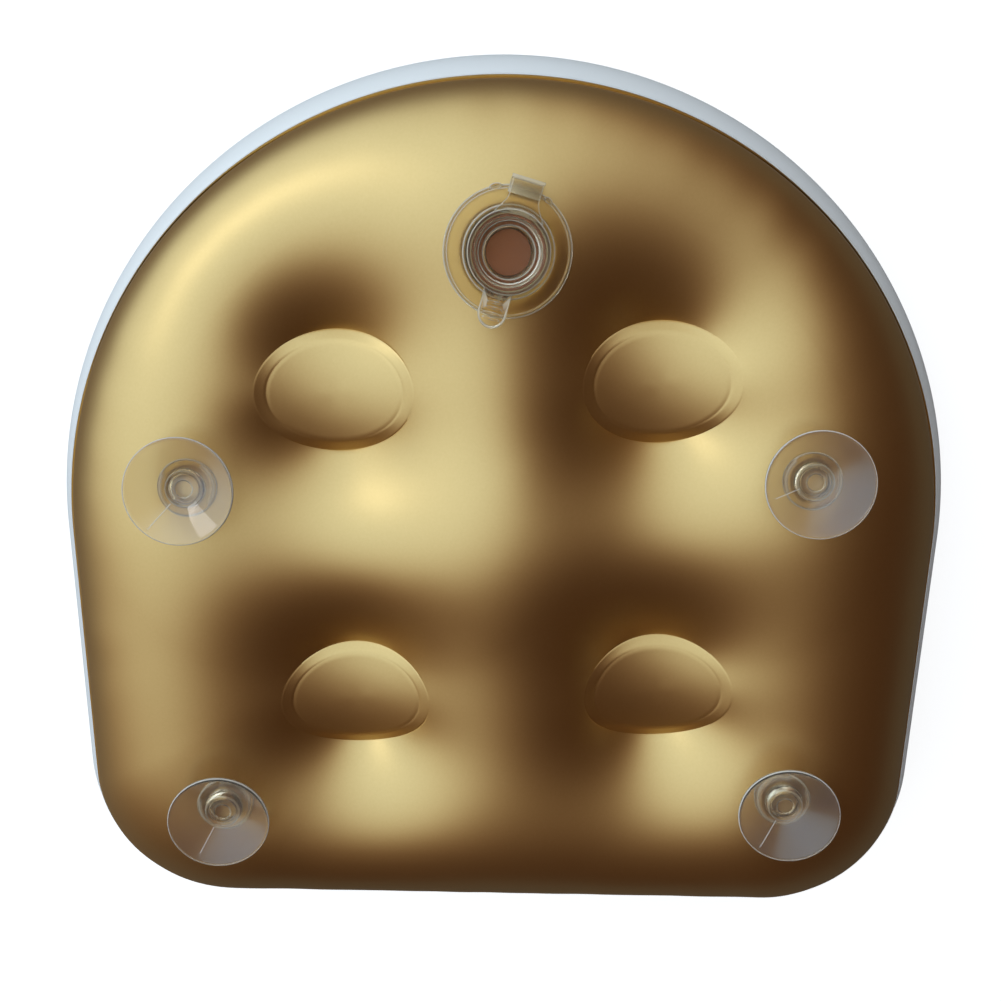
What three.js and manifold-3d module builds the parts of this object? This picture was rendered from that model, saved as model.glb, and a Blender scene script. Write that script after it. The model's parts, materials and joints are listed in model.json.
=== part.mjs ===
// Inflatable hot tub cushion: a gold front film and a deeper white back film, welded together round an
// arched outline and at four ovals inside it, with a plugged air valve and four suction cups on the
// front.
// Millimetres. The cushion lies on its back: +Z out of the front, +Y towards the arched end, and the
// origin on the resting surface under the middle of the cushion.
import * as THREE from 'three';
import { mergeVertices } from 'three/addons/utils/BufferGeometryUtils.js';
import Module from 'manifold-3d';

// Outline of the edge seam
const SEAM_WIDTH = 397;
const SEAM_LENGTH = 387;
const CORNER_RADIUS = 63;
const FIN_WIDTH = 1.2;
const FIN_TILT = THREE.MathUtils.degToRad(45);

// Films, and how far they swell
const FILM = 0.6;
const SEAM_HEIGHT = 60;
const FRONT_RISE = 54;
const FRONT_FULLNESS = 2.5;
const FRONT_SHOULDER = 0.6;
const BACK_BULGE = 14.5;
const BULGE_DROP = 34;
const BACK_FULLNESS = 8;
const BACK_SHOULDER = 0.5;
const REST_CUT = 0.5;

// Oval welds that tie the films together, and the dimples round them
const WELD_WIDTH = 68.5;
const WELD_DEPTH = 53.5;
const WELD_PITCH_X = 140;
const WELD_PITCH_Y = 144;
const WELD_TURN = THREE.MathUtils.degToRad(2.5);
const WELD_LEVEL = 10;
const WELD_BOW = 11;
const FRONT_DIMPLE = { radius: 131, softness: 2 };
const BACK_DIMPLE = { radius: 80, softness: 1.2 };

// Air valve: flange on the front film, neck, barrel through the film, and a check flap under it
const VALVE_INSET = 70;
const VALVE_TURN = THREE.MathUtils.degToRad(-15);
const FLANGE_RADIUS = 26;
const FLANGE_THICKNESS = 2;
const NECK_RADIUS = 18.2;
const NECK_RISE = 6.5;
const NECK_EDGE = 0.6;
const BORE_RADIUS = 14.6;
const BARREL_WALL = 1.9;
const BARREL_DEPTH = 10;
const FLAP_THICKNESS = 0.8;
const FLAP_HINGE_WIDTH = 10;

// Plug: a stepped cup with a ridged pull tab, on a strap that folds beside the flange
const PLUG_RIM_RADIUS = 16.4;
const PLUG_RIM_THICKNESS = 1.4;
const SKIRT_TOP_RADIUS = 14.1;
const SKIRT_END_RADIUS = 13.4;
const SKIRT_LENGTH = 6;
const WELL_RADII = [11.8, 10.2, 9];
const WELL_STEP = 1.6;
const PLUG_FLOOR = 1.2;
const STRAP_WIDTH = 12;
const STRAP_ROOT_WIDTH = 20;
const STRAP_THICKNESS = 1.2;
const STRAP_FOLD = 28;
const FOLD_CLEARANCE = 0.9;
const TAB_WIDTH = 11.4;
const TAB_LENGTH = 13;
const TAB_RIDGES = 4;
const RIDGE_RADIUS = 0.5;
const RIDGE_PITCH = 2.1;

// Suction cups, each with a headed stem held in a welded patch
const UPPER_CUP_INSET = 66;
const LOWER_CUP_INSET = 69;
const CUP_END_INSET = 70;
const CUP_PITCH = 152;
const CUP_SHIFT = -1;
const CUP_TURN = THREE.MathUtils.degToRad(1.7);
const CUP_RADIUS = 22.5;
const CUP_DEPTH = 7.4;
const CUP_WALL = 1.6;
const CUP_LIP = 1.2;
const CUP_HUB_RADIUS = 5.5;
const STEM_RADIUS = 3.5;
const HEAD_RADIUS = 6;
const HEAD_THICKNESS = 2.7;
const HEAD_LIFT = 1;
const PATCH_RADIUS = 12.5;
const PATCH_EDGE = 0.9;
const HAT_RADIUS = 9;
const HAT_TOP = 1;

// Clearances: between pieces that touch, and round the stems that turn
const GAP = 0.3;
const SWIVEL_GAP = 0.4;

// Finishes
const GOLD_FILM = { color: 0xb59a62, roughness: 0.42, metalness: 0.75 };
const WHITE_FILM = { color: 0xe3edf3, roughness: 0.35, metalness: 0 };
const CLEAR_VINYL = { color: 0xd9cfc6, roughness: 0.15, metalness: 0, opacity: 0.4, transparent: true };

// Facets
const LINE_STEPS = 5;
const ARCH_STEPS = 10;
const SIDE_STEPS = 2;
const CORNER_STEPS = 6;
const DIMPLE_STEPS = 4;
const DIMPLE_CROWDING = 1.4;
const BAND_START = 0.8;
const BAND_STEPS = 3;
const ROLL_STEPS = 2;
const RIDGE_END_STEPS = 3;
const RIDGE_SEGMENTS = 6;
const ROUND_SEGMENTS = 32;
const SMALL_SEGMENTS = 24;
const EDGE_TOLERANCE = 1e-6;
const MERGE_DISTANCE = 1e-3;

const archRadius = SEAM_WIDTH / 2;
const archCentreY = SEAM_LENGTH / 2 - archRadius;
const straightEnd = SEAM_LENGTH - archRadius;
const bulgeHeight = SEAM_HEIGHT - BULGE_DROP;
const weldFront = SEAM_HEIGHT + WELD_LEVEL;
const weldSlope = Math.atan(4 * WELD_BOW / WELD_DEPTH);
const weldBack = weldFront - 2 * FILM / Math.cos(weldSlope) - GAP;

const wasm = await Module();
wasm.setup();

// Solids for joining and cutting

function toSolid(geometry) {
  const bare = geometry.clone();
  bare.deleteAttribute('normal');
  bare.deleteAttribute('uv');
  const merged = mergeVertices(bare, MERGE_DISTANCE);
  const vertProperties = new Float32Array(merged.attributes.position.array);
  const triVerts = new Uint32Array(merged.index.array);
  return new wasm.Manifold(new wasm.Mesh({ numProp: 3, vertProperties, triVerts }));
}

function toGeometry(solid) {
  const mesh = solid.getMesh();
  const geometry = new THREE.BufferGeometry();
  geometry.setAttribute('position', new THREE.BufferAttribute(mesh.vertProperties, 3));
  geometry.setIndex(new THREE.BufferAttribute(mesh.triVerts, 1));
  geometry.computeVertexNormals();
  return geometry;
}

// Revolves a profile of [radius, height] pairs, drawn up its outer side first, about +Z
function revolve(profile, segments = ROUND_SEGMENTS) {
  const points = profile.map(([radius, height]) => new THREE.Vector2(radius, height));
  return new THREE.LatheGeometry(points, segments).rotateX(Math.PI / 2);
}

function disc(radius, low, high, segments = ROUND_SEGMENTS) {
  return revolve([[0, low], [radius, low], [radius, high], [0, high]], segments);
}

function plate(shape, low, high) {
  const settings = { depth: high - low, bevelEnabled: false, curveSegments: SMALL_SEGMENTS };
  return new THREE.ExtrudeGeometry(shape, settings).translate(0, 0, low);
}

// Shape of the swollen films, measured from the centre of the arch

// Distance from the arch centre to the outline, grown outwards, along a direction
function outlineReach(angle, grow) {
  const half = archRadius + grow;
  if (Math.sin(angle) >= 0) {
    return half;
  }
  const end = straightEnd + grow;
  const round = CORNER_RADIUS + grow;
  const along = Math.abs(Math.cos(angle));
  const down = -Math.sin(angle);
  if (half * down <= (end - round) * along) {
    return half / along;
  }
  if (end * along <= (half - round) * down) {
    return end / down;
  }
  const middle = along * (half - round) + down * (end - round);
  const off = (half - round) ** 2 + (end - round) ** 2 - round ** 2;
  return middle + Math.sqrt(middle ** 2 - off);
}

// 1 at the middle of the cushion and 0 at its outline
function swell(u, v, grow, fullness, shoulder) {
  const share = Math.hypot(u, v) / outlineReach(Math.atan2(v, u), grow);
  return Math.max(0, 1 - share ** fullness) ** shoulder;
}

function turned(u, v, angle) {
  return [u * Math.cos(angle) - v * Math.sin(angle), u * Math.sin(angle) + v * Math.cos(angle)];
}

const welds = [[1, 1], [-1, 1], [-1, -1], [1, -1]].map(([sideX, sideY]) => {
  const centre = [sideX * WELD_PITCH_X / 2, sideY * WELD_PITCH_Y / 2];
  return { sideX, sideY, centre, place: turned(...centre, WELD_TURN) };
});

// Pulls a swollen height down to the welds: each oval is bowed about its long axis, and the film climbs
// a softened quarter circle from its edge out to the round rim of the dimple
function tied(u, v, swollen, level, dimple) {
  const [flatU, flatV] = turned(u, v, -WELD_TURN);
  let climb = 1;
  let edge = 0;
  let weight = 0;
  for (const weld of welds) {
    const [du, dv] = [flatU - weld.centre[0], flatV - weld.centre[1]];
    const across = du / (WELD_WIDTH / 2);
    const along = dv / (WELD_DEPTH / 2);
    const share = Math.hypot(across, along);
    if (share <= 1 + EDGE_TOLERANCE) {
      return level + WELD_BOW * (1 - along ** 2);
    }
    const radius = Math.hypot(du, dv);
    const oval = radius / share;
    const out = Math.min(1, (radius - oval) / (dimple.radius - oval));
    const rise = (1 - (1 - out) ** 2) ** (dimple.softness / 2);
    climb *= rise;
    edge += (1 - rise) * (level + WELD_BOW * (across / share) ** 2);
    weight += 1 - rise;
  }
  const low = weight > 0 ? edge / weight : swollen;
  return low + (swollen - low) * climb;
}

function frontHeight(u, v) {
  const swollen = SEAM_HEIGHT + FRONT_RISE * swell(u, v, 0, FRONT_FULLNESS, FRONT_SHOULDER);
  return tied(u, v, swollen, weldFront, FRONT_DIMPLE);
}

// The lowest half millimetre of the back is flattened by the surface it lies on
function backHeight(u, v) {
  const drop = (bulgeHeight + REST_CUT) * swell(u, v, BACK_BULGE, BACK_FULLNESS, BACK_SHOULDER);
  return Math.max(0, tied(u, v, bulgeHeight - drop, weldBack, BACK_DIMPLE));
}

// Points of the outline in one quarter, from the long axis of the cushion round to its side
function quarterOutline(weld, grow) {
  const half = archRadius + grow;
  const points = [];
  if (weld.sideY > 0) {
    for (let step = 0; step <= ARCH_STEPS; step += 1) {
      const angle = (Math.PI / 2) * (1 - step / ARCH_STEPS);
      points.push([half * Math.cos(angle), half * Math.sin(angle)]);
    }
  } else {
    const end = straightEnd + grow;
    const round = CORNER_RADIUS + grow;
    for (let step = 0; step < SIDE_STEPS; step += 1) {
      points.push([(half - round) * step / SIDE_STEPS, -end]);
    }
    for (let step = 0; step <= CORNER_STEPS; step += 1) {
      const angle = (Math.PI / 2) * (1 - step / CORNER_STEPS);
      points.push([half - round + round * Math.cos(angle), -end + round - round * Math.sin(angle)]);
    }
    for (let step = 1; step <= SIDE_STEPS; step += 1) {
      points.push([half, (round - end) * (1 - step / SIDE_STEPS)]);
    }
  }
  return points.map(([u, v]) => [u * weld.sideX, v]);
}

// Closed border of one quarter: its side of the edge band, then in along the cross axis and out along
// the long axis
function quarterBorder(outline) {
  const border = outline.map(([u, v]) => [u * BAND_START, v * BAND_START]);
  const [endU] = border[border.length - 1];
  const [, startV] = border[0];
  for (let step = LINE_STEPS - 1; step >= 0; step -= 1) {
    border.push([endU * step / LINE_STEPS, 0]);
  }
  for (let step = 1; step <= LINE_STEPS; step += 1) {
    border.push([0, startV * step / LINE_STEPS]);
  }
  return border;
}

// A film as triangles between shared vertices; a vertex can carry the direction of its own thickness
class Film {
  constructor() {
    this.points = [];
    this.thickness = new Map();
    this.lookup = new Map();
    this.triangles = [];
  }

  vertex(x, y, z, direction = null) {
    const key = [x, y, z].map((value) => Math.round(value / MERGE_DISTANCE)).join();
    if (!this.lookup.has(key)) {
      this.lookup.set(key, this.points.length);
      this.points.push(new THREE.Vector3(x, y, z));
    }
    const index = this.lookup.get(key);
    if (direction) {
      this.thickness.set(index, direction);
    }
    return index;
  }

  triangle(a, b, c, flip) {
    this.triangles.push(flip ? [a, c, b] : [a, b, c]);
  }

  // Strips between following rows of vertices, each of their quads cut along its shorter diagonal
  strips(rows, flip) {
    const span = (from, to) => this.points[from].distanceTo(this.points[to]);
    for (let index = 0; index + 1 < rows.length; index += 1) {
      for (let step = 0; step + 1 < rows[index].length; step += 1) {
        const [near, nearNext] = rows[index].slice(step, step + 2);
        const [far, farNext] = rows[index + 1].slice(step, step + 2);
        if (span(near, farNext) < span(nearNext, far)) {
          this.triangle(near, far, farNext, flip);
          this.triangle(near, farNext, nearNext, flip);
        } else {
          this.triangle(near, far, nearNext, flip);
          this.triangle(nearNext, far, farNext, flip);
        }
      }
    }
  }

  geometry(points, triangles) {
    const geometry = new THREE.BufferGeometry().setFromPoints(points);
    geometry.setIndex(triangles.flat());
    geometry.computeVertexNormals();
    return geometry;
  }

  // Height of the facet over a point
  heightAt(x, y) {
    const point = new THREE.Vector3(x, y, 0);
    const shares = new THREE.Vector3();
    for (const corners of this.triangles) {
      const [a, b, c] = corners.map((index) => this.points[index]);
      const flat = [a, b, c].map((corner) => corner.clone().setZ(0));
      const inside = THREE.Triangle.getBarycoord(point, ...flat, shares);
      if (inside && Math.min(...shares) > -MERGE_DISTANCE) {
        return shares.dot(new THREE.Vector3(a.z, b.z, c.z));
      }
    }
    throw new Error('no film under this point');
  }

  // Edges that belong to one triangle only
  openEdges() {
    const edges = new Map();
    for (const [a, b, c] of this.triangles) {
      for (const [from, to] of [[a, b], [b, c], [c, a]]) {
        if (!edges.delete(`${to},${from}`)) {
          edges.set(`${from},${to}`, [from, to]);
        }
      }
    }
    return [...edges.values()];
  }

  // Closes the film against a copy of itself whose vertices are moved
  closedWith(copies) {
    const count = this.points.length;
    const triangles = [...this.triangles];
    for (const [a, b, c] of this.triangles) {
      triangles.push([a + count, c + count, b + count]);
    }
    for (const [from, to] of this.openEdges()) {
      triangles.push([to, from, from + count], [to, from + count, to + count]);
    }
    return this.geometry([...this.points, ...copies], triangles);
  }

  // A wall of the film's thickness on the inside of the surface
  wall() {
    const normals = this.geometry(this.points, this.triangles).attributes.normal;
    const copies = this.points.map((point, index) => {
      const direction = this.thickness.get(index) ?? new THREE.Vector3().fromBufferAttribute(normals, index);
      return point.clone().addScaledVector(direction, -FILM);
    });
    return this.closedWith(copies);
  }

  // Everything under the surface, lifted by the clearance, for bedding other pieces on it
  bed(floor) {
    const copies = this.points.map((point) => new THREE.Vector3(point.x, point.y, floor));
    const solid = this.closedWith(copies);
    return solid.translate(0, 0, GAP);
  }
}

// Rows of the surface from each weld out to the border of its quarter, then over the edge band
function quilt(film, grow, height, flip) {
  const vertexAt = (u, v) => film.vertex(u, archCentreY + v, height(u, v));
  return welds.map((weld) => {
    const outline = quarterOutline(weld, grow);
    const border = quarterBorder(outline);
    const flipped = flip !== (weld.sideX * weld.sideY > 0);
    const [placeU, placeV] = weld.place;
    const ovalShares = border.map(([u, v]) => {
      const [across, along] = turned(u - placeU, v - placeV, -WELD_TURN);
      return 1 / Math.hypot(across / (WELD_WIDTH / 2), along / (WELD_DEPTH / 2));
    });
    const dimple = [];
    for (let step = 0; step <= DIMPLE_STEPS; step += 1) {
      const blend = (step / DIMPLE_STEPS) ** DIMPLE_CROWDING;
      dimple.push(border.map(([u, v], index) => {
        const share = ovalShares[index] + (1 - ovalShares[index]) * blend;
        return vertexAt(placeU + (u - placeU) * share, placeV + (v - placeV) * share);
      }));
    }
    const band = [];
    for (let step = 0; step <= BAND_STEPS; step += 1) {
      const share = BAND_START + (1 - BAND_START) * Math.sin((Math.PI / 2) * step / BAND_STEPS);
      band.push(outline.map(([u, v]) => vertexAt(u * share, v * share)));
    }
    const middle = vertexAt(placeU, placeV);
    const [oval] = dimple;
    for (let step = 0; step + 1 < oval.length; step += 1) {
      film.triangle(middle, oval[step], oval[step + 1], flipped);
    }
    film.strips(dimple, flipped);
    film.strips(band, flipped);
    return { weld, outline, flipped };
  });
}

// Outward direction of the outline at its points
function outlineNormals(outline, weld) {
  return outline.map(([u, v], index) => {
    if (weld.sideY > 0) {
      return new THREE.Vector2(u, v).normalize();
    }
    const turnSteps = Math.min(Math.max(index - SIDE_STEPS, 0), CORNER_STEPS);
    const angle = (Math.PI / 2) * (1 - turnSteps / CORNER_STEPS);
    return new THREE.Vector2(weld.sideX * Math.cos(angle), -Math.sin(angle));
  });
}

// Rows that carry a profile of [outward, up] offsets along the outline
function rimRows(film, outline, normals, profile) {
  return profile.map(({ outward, up, side }) => outline.map(([u, v], index) => {
    const normal = normals[index];
    const direction = side && new THREE.Vector3(side[0] * normal.x, side[0] * normal.y, side[1]);
    const [x, y] = [u + normal.x * outward, archCentreY + v + normal.y * outward];
    return film.vertex(x, y, SEAM_HEIGHT + up, direction);
  }));
}

// The weld fin stands out of the seam, with the front film on its inner face and the back film outside
const finOut = Math.cos(FIN_TILT);
const finUp = Math.sin(FIN_TILT);
const finStack = 2 * FILM + GAP;

function finProfile(root, side) {
  const tip = { outward: root.outward + finOut * FIN_WIDTH, up: root.up + finUp * FIN_WIDTH, side };
  return [{ ...root, side }, tip];
}

function frontFilm() {
  const film = new Film();
  const profile = finProfile({ outward: 0, up: 0 }, [-finUp, finOut]);
  for (const { weld, outline, flipped } of quilt(film, 0, frontHeight, false)) {
    film.strips(rimRows(film, outline, outlineNormals(outline, weld), profile), flipped);
  }
  return film;
}

// The back film leaves the seam outwards and rolls round the side of the cushion
function backFilm() {
  const film = new Film();
  const root = { outward: finStack * finUp - BACK_BULGE, up: -finStack * finOut };
  const drop = BULGE_DROP + root.up;
  const rollRadius = (root.outward ** 2 + drop ** 2) / (-2 * root.outward);
  const rollTurn = Math.atan2(drop, rollRadius + root.outward);
  const profile = [];
  for (let step = 0; step < ROLL_STEPS; step += 1) {
    const angle = rollTurn * step / ROLL_STEPS;
    const outward = rollRadius * (Math.cos(angle) - 1);
    profile.push({ outward, up: rollRadius * Math.sin(angle) - BULGE_DROP });
  }
  profile.push(...finProfile(root, [finUp, -finOut]));
  for (const { weld, outline, flipped } of quilt(film, BACK_BULGE, backHeight, true)) {
    film.strips(rimRows(film, outline, outlineNormals(outline, weld), profile), flipped);
  }
  return film;
}

function add(group, name, geometry, finish) {
  const mesh = new THREE.Mesh(geometry, new THREE.MeshStandardMaterial(finish));
  mesh.name = name;
  group.add(mesh);
}

// A group standing on the front film, with its +Z along the film's mean normal over a round footprint
// and its origin level with the highest point there
function seat(u, v, radius, turn) {
  const heightAt = (du, dv) => front.heightAt(u + du, archCentreY + v + dv);
  const middle = heightAt(0, 0);
  const slope = new THREE.Vector2();
  const samples = [[0, 0, middle]];
  for (let index = 0; index < SMALL_SEGMENTS; index += 1) {
    const angle = 2 * Math.PI * index / SMALL_SEGMENTS;
    for (const reach of [radius / 2, radius]) {
      const [du, dv] = [reach * Math.cos(angle), reach * Math.sin(angle)];
      samples.push([du, dv, heightAt(du, dv)]);
    }
    const [du, dv, height] = samples[samples.length - 1];
    slope.x += 2 * du * height / radius ** 2 / SMALL_SEGMENTS;
    slope.y += 2 * dv * height / radius ** 2 / SMALL_SEGMENTS;
  }
  const level = Math.max(...samples.map(([du, dv, height]) => height - slope.x * du - slope.y * dv));
  const group = new THREE.Group();
  const upright = new THREE.Vector3(0, 0, 1);
  const normal = new THREE.Vector3(-slope.x, -slope.y, 1).normalize();
  group.position.set(u, archCentreY + v, level);
  group.quaternion.setFromUnitVectors(upright, normal);
  group.quaternion.multiply(new THREE.Quaternion().setFromAxisAngle(upright, turn));
  group.updateMatrixWorld(true);
  return group;
}

// The bed under the front film, seen from a group that stands on it
function bedFor(group) {
  return toSolid(frontBed.clone().applyMatrix4(group.matrixWorld.clone().invert()));
}

// Air valve, in its own frame: the strap runs towards +Y and the pull tab towards -Y

const flangeTop = FLANGE_THICKNESS;
const neckTop = flangeTop + NECK_RISE;
const barrelRadius = BORE_RADIUS + BARREL_WALL;
const rimLow = neckTop + GAP;
const rimTop = rimLow + PLUG_RIM_THICKNESS;
const strapLow = rimLow + (PLUG_RIM_THICKNESS - STRAP_THICKNESS) / 2;
const strapTop = strapLow + STRAP_THICKNESS;
const foldHeight = (strapLow + strapTop) / 2;

function valveBase(bed) {
  const tube = revolve([
    [barrelRadius, -BARREL_DEPTH],
    [barrelRadius, flangeTop / 2],
    [NECK_RADIUS, flangeTop / 2],
    [NECK_RADIUS, neckTop - NECK_EDGE],
    [NECK_RADIUS - NECK_EDGE, neckTop],
    [BORE_RADIUS, neckTop],
    [BORE_RADIUS, -BARREL_DEPTH],
    [barrelRadius, -BARREL_DEPTH],
  ]);
  const blank = toSolid(disc(FLANGE_RADIUS, -BARREL_DEPTH, flangeTop));
  const opening = toSolid(disc(barrelRadius, -2 * BARREL_DEPTH, 2 * flangeTop));
  const root = new THREE.Shape();
  const inner = FLANGE_RADIUS - STRAP_THICKNESS;
  const outer = STRAP_FOLD + STRAP_THICKNESS / 2;
  root.moveTo(inner, flangeTop - STRAP_THICKNESS);
  root.lineTo(outer, flangeTop - STRAP_THICKNESS);
  root.lineTo(outer, foldHeight - FOLD_CLEARANCE);
  root.lineTo(outer - STRAP_THICKNESS, foldHeight - FOLD_CLEARANCE);
  root.lineTo(outer - STRAP_THICKNESS, flangeTop);
  root.lineTo(inner, flangeTop);
  const riser = plate(root, -STRAP_WIDTH / 2, STRAP_WIDTH / 2);
  riser.rotateX(Math.PI / 2).rotateZ(Math.PI / 2);
  return blank.subtract(bed).subtract(opening).add(toSolid(tube)).add(toSolid(riser).subtract(bed));
}

function tabShape() {
  const half = TAB_WIDTH / 2;
  const start = PLUG_RIM_RADIUS - PLUG_RIM_THICKNESS;
  const end = PLUG_RIM_RADIUS + TAB_LENGTH - half;
  const shape = new THREE.Shape();
  shape.moveTo(half, -start);
  shape.lineTo(-half, -start);
  shape.lineTo(-half, -end);
  shape.absarc(0, -end, half, Math.PI, 2 * Math.PI, false);
  return shape;
}

function valvePlug() {
  const [wellTop, wellStep, wellFloor] = WELL_RADII;
  const low = rimLow - SKIRT_LENGTH;
  const body = revolve([
    [0, low],
    [SKIRT_END_RADIUS, low],
    [SKIRT_TOP_RADIUS, rimLow],
    [PLUG_RIM_RADIUS, rimLow],
    [PLUG_RIM_RADIUS, rimTop],
    [wellTop, rimTop],
    [wellTop, rimTop - WELL_STEP],
    [wellStep, rimTop - WELL_STEP],
    [wellFloor, low + PLUG_FLOOR],
    [0, low + PLUG_FLOOR],
  ]);
  let plug = toSolid(body).add(toSolid(plate(tabShape(), strapLow, strapTop)));
  const ridge = new THREE.CapsuleGeometry(RIDGE_RADIUS, TAB_WIDTH / 2, RIDGE_END_STEPS, RIDGE_SEGMENTS);
  ridge.rotateZ(Math.PI / 2);
  for (let index = 0; index < TAB_RIDGES; index += 1) {
    const y = -(PLUG_RIM_RADIUS + TAB_LENGTH / 2 + (index - (TAB_RIDGES - 1) / 2) * RIDGE_PITCH);
    plug = plug.add(toSolid(ridge.clone().translate(0, y, strapTop)));
  }
  return plug;
}

// The strap widens in two curves where it meets the rim of the plug
function plugStrap() {
  const near = PLUG_RIM_RADIUS + GAP;
  const spread = Math.asin(STRAP_ROOT_WIDTH / 2 / near);
  const half = STRAP_WIDTH / 2;
  const rootY = near * Math.cos(spread);
  const end = STRAP_FOLD - FOLD_CLEARANCE;
  const waist = (near + end) / 2;
  const shape = new THREE.Shape();
  shape.moveTo(half, end);
  shape.lineTo(-half, end);
  shape.lineTo(-half, waist);
  shape.quadraticCurveTo(-half, rootY + half / 2, -STRAP_ROOT_WIDTH / 2, rootY);
  shape.absarc(0, 0, near, Math.PI / 2 + spread, Math.PI / 2 - spread, true);
  shape.quadraticCurveTo(half, rootY + half / 2, half, waist);
  return plate(shape, strapLow, strapTop);
}

// Round flap with a straight hinge side, closing the barrel from inside
function checkFlap() {
  const top = -BARREL_DEPTH - GAP;
  const half = FLAP_HINGE_WIDTH / 2;
  const reach = barrelRadius;
  const start = Math.atan2(Math.sqrt(reach ** 2 - half ** 2), half);
  const shape = new THREE.Shape();
  shape.moveTo(-half, reach);
  shape.lineTo(-half, reach * Math.sin(start));
  shape.absarc(0, 0, reach, Math.PI - start, 2 * Math.PI + start, false);
  shape.lineTo(half, reach);
  return plate(shape, top - FLAP_THICKNESS, top);
}

// Suction cup and patch, in the frame of the film under them

const headTop = HEAD_LIFT + HEAD_THICKNESS;
const hatLow = headTop + SWIVEL_GAP;
const hatTop = hatLow + HAT_TOP;
const cupLow = hatTop + SWIVEL_GAP;
const cupFloor = cupLow + CUP_WALL;
const cupTop = cupFloor + CUP_DEPTH;

function cupPatch(bed) {
  const sunk = -PATCH_RADIUS / 2;
  const outer = revolve([
    [0, sunk],
    [PATCH_RADIUS, sunk],
    [PATCH_RADIUS, PATCH_EDGE],
    [HAT_RADIUS, PATCH_EDGE + GAP],
    [HAT_RADIUS - HAT_TOP, hatTop],
    [0, hatTop],
  ], SMALL_SEGMENTS);
  const pocket = disc(HEAD_RADIUS + SWIVEL_GAP, sunk * 2, hatLow, SMALL_SEGMENTS);
  const hole = disc(STEM_RADIUS + SWIVEL_GAP, 0, 2 * hatTop, SMALL_SEGMENTS);
  return toSolid(outer).subtract(toSolid(pocket)).subtract(toSolid(hole)).subtract(bed);
}

function suctionCup() {
  return revolve([
    [0, HEAD_LIFT],
    [HEAD_RADIUS, HEAD_LIFT],
    [HEAD_RADIUS, HEAD_LIFT + HEAD_THICKNESS / 2],
    [STEM_RADIUS, headTop],
    [STEM_RADIUS, cupLow],
    [CUP_HUB_RADIUS, cupLow],
    [CUP_RADIUS, cupTop - CUP_LIP],
    [CUP_RADIUS, cupTop],
    [CUP_RADIUS - CUP_LIP, cupTop],
    [CUP_HUB_RADIUS, cupFloor],
    [0, cupFloor],
  ]);
}

// Assembly

const cushion = new THREE.Group();
const front = frontFilm();
const frontBed = front.bed(bulgeHeight);

const valve = seat(0, archRadius - VALVE_INSET, FLANGE_RADIUS, VALVE_TURN);
const barrelHole = disc(barrelRadius + GAP, -2 * BARREL_DEPTH, 2 * BARREL_DEPTH, SMALL_SEGMENTS);
barrelHole.applyMatrix4(valve.matrixWorld);
const pierced = toSolid(front.wall()).subtract(toSolid(barrelHole));
add(cushion, 'gold_front_film', toGeometry(pierced), GOLD_FILM);
add(cushion, 'white_back_film', backFilm().wall(), WHITE_FILM);

add(valve, 'valve_base', toGeometry(valveBase(bedFor(valve))), CLEAR_VINYL);
add(valve, 'valve_plug', toGeometry(valvePlug()), CLEAR_VINYL);
add(valve, 'plug_strap', plugStrap(), CLEAR_VINYL);
add(valve, 'check_flap', checkFlap(), GOLD_FILM);
cushion.add(valve);

const lowerCupV = CUP_END_INSET - straightEnd;
const cupRows = [['upper', lowerCupV + CUP_PITCH, UPPER_CUP_INSET], ['lower', lowerCupV, LOWER_CUP_INSET]];
const cupSides = [['left', -1], ['right', 1]];
for (const [rowName, flatV, inset] of cupRows) {
  for (const [sideName, side] of cupSides) {
    const flatU = CUP_SHIFT + side * (archRadius - inset);
    const holder = seat(...turned(flatU, flatV, CUP_TURN), PATCH_RADIUS, 0);
    add(holder, `cup_patch_${rowName}_${sideName}`, toGeometry(cupPatch(bedFor(holder))), CLEAR_VINYL);
    add(holder, `suction_cup_${rowName}_${sideName}`, suctionCup(), CLEAR_VINYL);
    cushion.add(holder);
  }
}

export default cushion;
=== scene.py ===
import json

import bmesh
import bpy
import numpy as np
from mathutils import Matrix


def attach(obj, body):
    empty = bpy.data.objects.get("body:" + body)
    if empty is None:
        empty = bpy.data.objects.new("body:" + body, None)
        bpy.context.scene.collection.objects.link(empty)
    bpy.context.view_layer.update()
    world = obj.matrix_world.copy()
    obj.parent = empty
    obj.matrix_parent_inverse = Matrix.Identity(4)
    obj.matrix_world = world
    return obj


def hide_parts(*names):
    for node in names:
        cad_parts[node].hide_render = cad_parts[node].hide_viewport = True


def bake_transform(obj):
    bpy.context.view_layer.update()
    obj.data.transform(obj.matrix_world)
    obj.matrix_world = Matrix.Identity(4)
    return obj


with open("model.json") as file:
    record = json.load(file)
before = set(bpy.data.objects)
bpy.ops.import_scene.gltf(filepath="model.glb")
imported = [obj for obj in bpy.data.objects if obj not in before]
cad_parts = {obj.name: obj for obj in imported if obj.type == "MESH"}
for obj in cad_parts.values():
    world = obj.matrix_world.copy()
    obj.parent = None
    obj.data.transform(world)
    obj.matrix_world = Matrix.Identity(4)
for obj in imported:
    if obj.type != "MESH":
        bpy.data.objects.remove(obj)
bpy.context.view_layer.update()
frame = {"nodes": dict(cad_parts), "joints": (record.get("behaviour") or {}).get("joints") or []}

# Camera: it looks down on the front of the cushion from arm's length, tipped towards the arched end and
# rolled a little, as the cushion lies in the photograph.
MM = 0.001
IMAGE_SIDE = 1001
FOCAL_PIXELS = 934
SENSOR_WIDTH = 36
CAMERA_DISTANCE = 430
CAMERA_TIP = np.radians(14.4)
CAMERA_ROLL = np.radians(1.05)
AIM = np.array([0, 15, 60])
PICTURE_RIGHT, PICTURE_UP = 3, 4.2

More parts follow.
